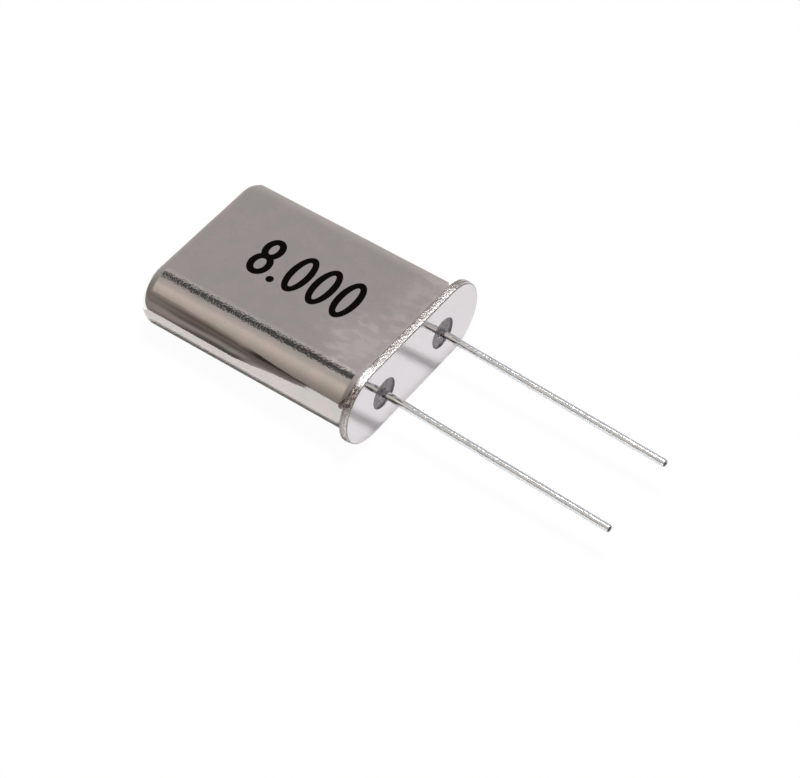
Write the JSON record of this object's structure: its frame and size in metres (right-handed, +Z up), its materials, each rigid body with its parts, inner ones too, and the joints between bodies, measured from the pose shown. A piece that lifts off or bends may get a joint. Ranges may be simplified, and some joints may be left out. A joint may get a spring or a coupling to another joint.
{
  "type": "crystal oscillator",
  "caption": "Quartz crystal unit: a thin obround metal can with a weld flange, wire leads in glass seals, and a round quartz blank held by spring clips inside.",
  "frame": {"origin": "centre of the seating face of the base, midway between the leads", "axes": "+X along the leads, out of the base; +Z up, out of the front of the can, which lies on its back; +Y across both leads. The can rests on its flange and its closed end, so its own axis leans 1.87 degrees from X, leads up"},
  "size_m": [0.0265, 0.011, 0.0044],
  "materials": {
    "cover": "satin",
    "base": "polished",
    "glass_seal": "gloss",
    "lead": "satin",
    "clip": "satin",
    "quartz": "gloss",
    "electrode": "polished",
    "adhesive": "matte",
    "ink": "matte"
  },
  "bodies": {
    "root": {"cover": "cover", "base_plate": "base", "glass_seal_left": "glass_seal", "glass_seal_right": "glass_seal", "lead_left": "lead", "lead_right": "lead", "support_clip_left": "clip", "support_clip_right": "clip", "quartz_blank": "quartz", "electrode_front": "electrode", "electrode_back": "electrode", "adhesive_left": "adhesive", "adhesive_right": "adhesive"}
  },
  "joints": []
}
